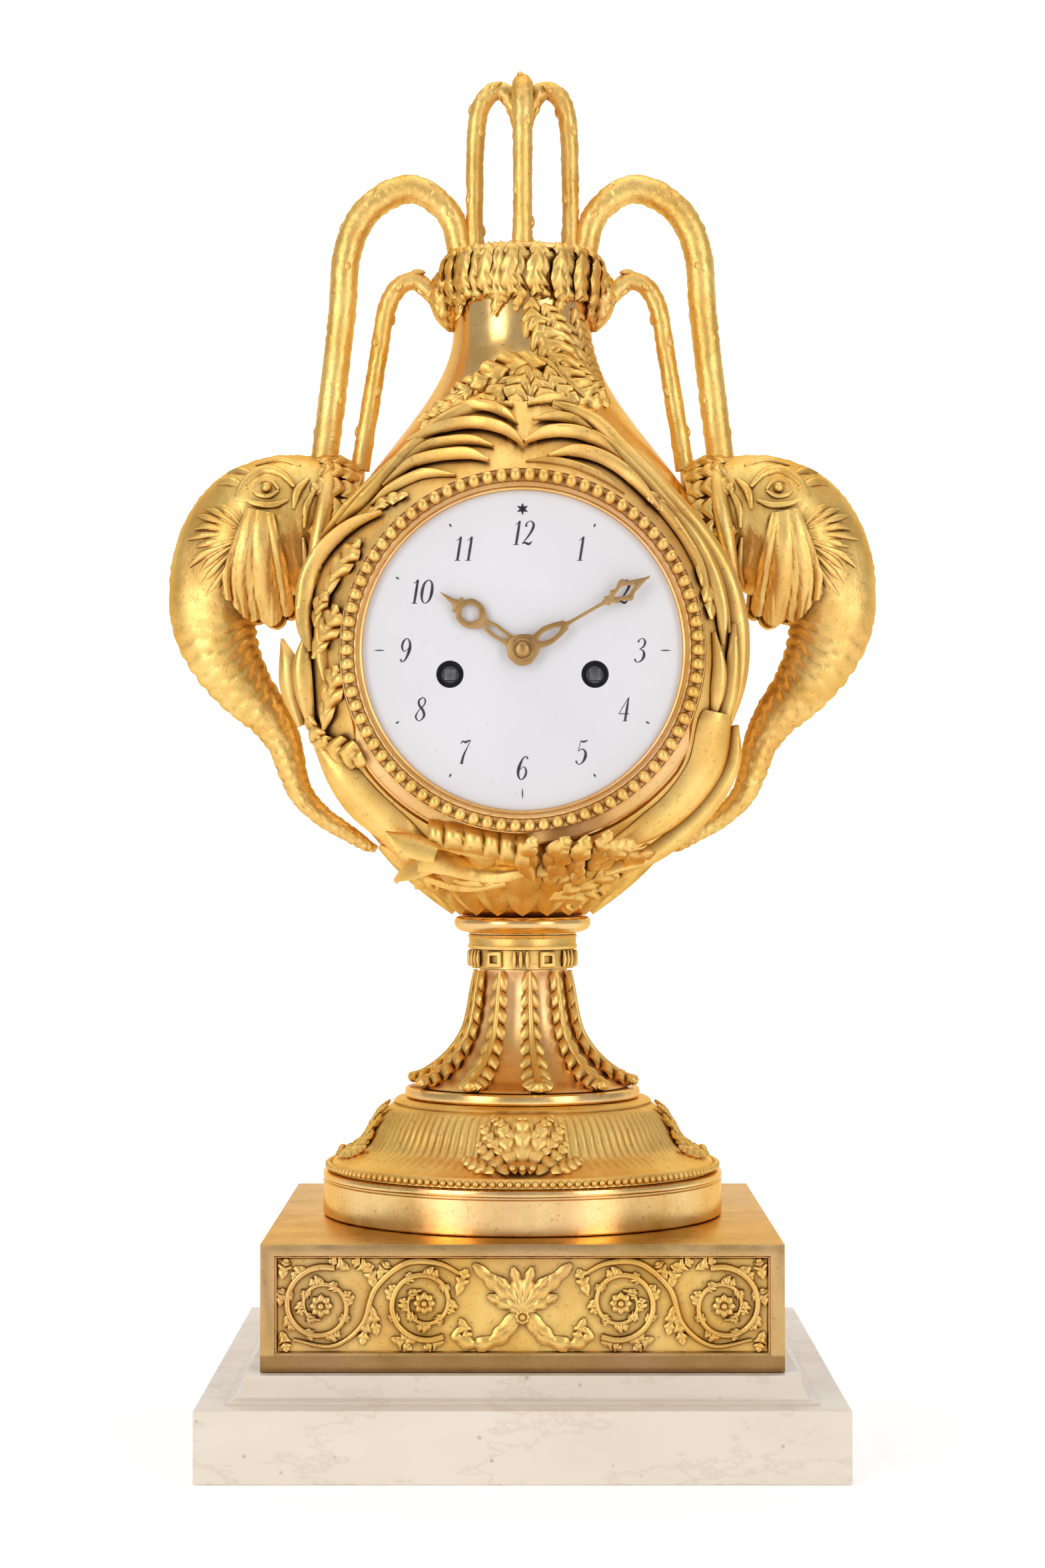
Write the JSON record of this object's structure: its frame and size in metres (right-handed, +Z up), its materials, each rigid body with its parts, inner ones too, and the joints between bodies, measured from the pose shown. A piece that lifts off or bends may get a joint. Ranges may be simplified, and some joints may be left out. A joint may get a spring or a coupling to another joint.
{
  "type": "vase mantel clock",
  "caption": "Gilt vase-shaped mantel clock with elephant-head handles, tall stalks, a leafy dial surround and a square plinth on a moulded marble base.",
  "frame": {"origin": "centre of the underside of the marble base, on the surface that the clock stands on", "axes": "+Z up along the vase's axis, the dial faces -Y, +X to the right as the dial is read"},
  "size_m": [0.2338, 0.197, 0.4455],
  "materials": {
    "gilt_bronze": "matt gilding",
    "burnished_gilt": "burnished gilding",
    "white_marble": "polished white marble",
    "white_enamel": "white enamel on copper",
    "hand_gilt": "pierced gilt hands",
    "winding_steel": "dark steel"
  },
  "bodies": {
    "clock": {"marble_base": "white_marble", "gilt_plinth": "burnished_gilt", "frieze_front": "gilt_bronze", "frieze_right": "gilt_bronze", "frieze_back": "gilt_bronze", "frieze_left": "gilt_bronze", "polished_step": "burnished_gilt", "reeded_dome": "gilt_bronze", "foot_fillet": "burnished_gilt", "leaf_stem": "gilt_bronze", "stem_band": "gilt_bronze", "cup_ring": "burnished_gilt", "vase_body": "gilt_bronze", "rear_cover": "burnished_gilt", "enamel_dial": "white_enamel", "dial_bezel": "burnished_gilt", "bead_ring": "gilt_bronze", "winding_square_left": "winding_steel", "winding_square_right": "winding_steel", "palm_branch_left": "gilt_bronze", "palm_branch_right": "gilt_bronze", "ribbon_bow": "gilt_bronze", "vine_spray": "gilt_bronze", "leaf_collar": "gilt_bronze", "neck_cap": "gilt_bronze", "finial": "gilt_bronze", "elephant_head_left": "gilt_bronze", "elephant_head_right": "gilt_bronze", "outer_stalk_left": "gilt_bronze", "outer_stalk_right": "gilt_bronze", "inner_stalk_left": "gilt_bronze", "inner_stalk_right": "gilt_bronze"},
    "minute": {"minute_hand": "hand_gilt", "centre_arbor": "hand_gilt"},
    "hour": {"hour_hand": "hand_gilt"}
  },
  "joints": [
    {"name": "minute_turn", "type": "hinge", "parent": "clock", "child": "minute", "pos_m": [0, -0.06, 0.2516], "axis": [0, 1, 0], "continuous": true},
    {"name": "hour_turn", "type": "hinge", "parent": "clock", "child": "hour", "pos_m": [0, -0.06, 0.2516], "axis": [0, 1, 0], "continuous": true}
  ],
  "couplings": [
    {"joint": "hour_turn", "follows": "minute_turn", "ratio": 0.083333}
  ]
}
